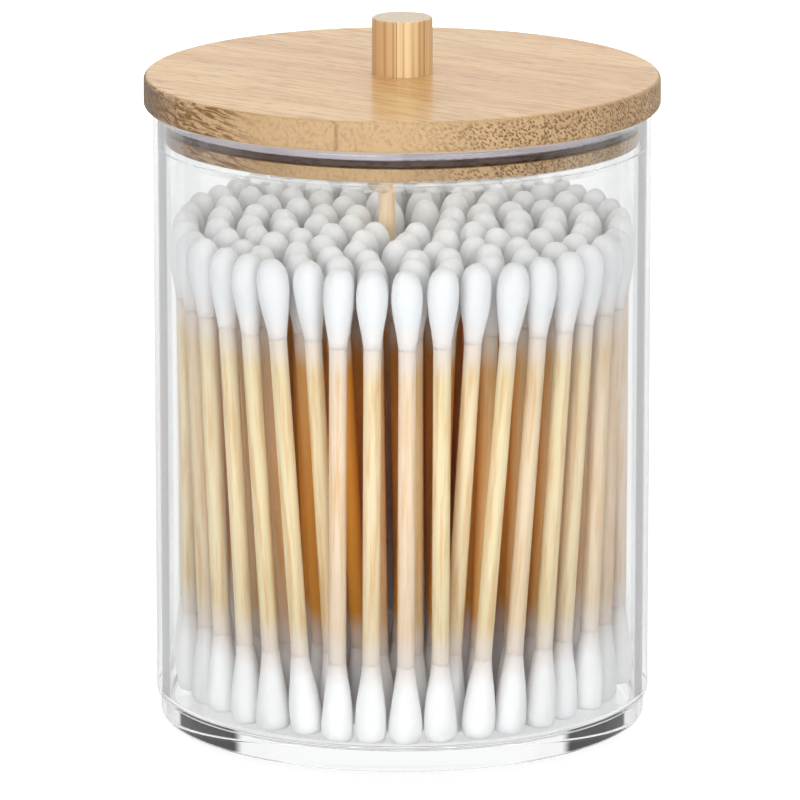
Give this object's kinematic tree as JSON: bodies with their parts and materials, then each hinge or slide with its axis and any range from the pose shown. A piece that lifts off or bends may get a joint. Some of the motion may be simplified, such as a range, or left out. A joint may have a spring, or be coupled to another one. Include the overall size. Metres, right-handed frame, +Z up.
{
  "type": "cotton swab holder",
  "caption": "Clear round jar with a bamboo lid and a dowel knob, standing full of wooden cotton swabs.",
  "frame": {"origin": "centre of the jar's underside, on the surface it stands on", "axes": "+Z up through the knob; the front faces -Y and +X is to the right seen from the front"},
  "size_m": [0.0808, 0.0808, 0.1114],
  "materials": {
    "clear_jar": "clear, polished",
    "lid_bamboo": "fine-grained bamboo, satin",
    "seal": "translucent, satin",
    "screw_steel": "satin",
    "swab_stick": "plain, matte",
    "cotton": "soft wound cotton"
  },
  "bodies": {
    "jar_body": {"jar": "clear_jar", "raised_swab_lower_tips": "cotton", "raised_swab_sticks": "swab_stick", "ring_1_lower_tips": "cotton", "ring_1_sticks": "swab_stick", "ring_1_upper_tips": "cotton", "ring_2_lower_tips": "cotton", "ring_2_sticks": "swab_stick", "ring_2_upper_tips": "cotton", "ring_3_lower_tips": "cotton", "ring_3_sticks": "swab_stick", "ring_3_upper_tips": "cotton", "ring_4_lower_tips": "cotton", "ring_4_sticks": "swab_stick", "ring_4_upper_tips": "cotton", "ring_5_lower_tips": "cotton", "ring_5_sticks": "swab_stick", "ring_5_upper_tips": "cotton", "ring_6_lower_tips": "cotton", "ring_6_sticks": "swab_stick", "ring_6_upper_tips": "cotton"},
    "lid_body": {"lid": "lid_bamboo", "seal_ring": "seal", "knob": "lid_bamboo", "knob_screw": "screw_steel"}
  },
  "joints": [
    {"name": "lid_lift", "type": "slide", "parent": "jar_body", "child": "lid_body", "axis": [0, 0, 1], "range_m": [0, 0.06]}
  ]
}
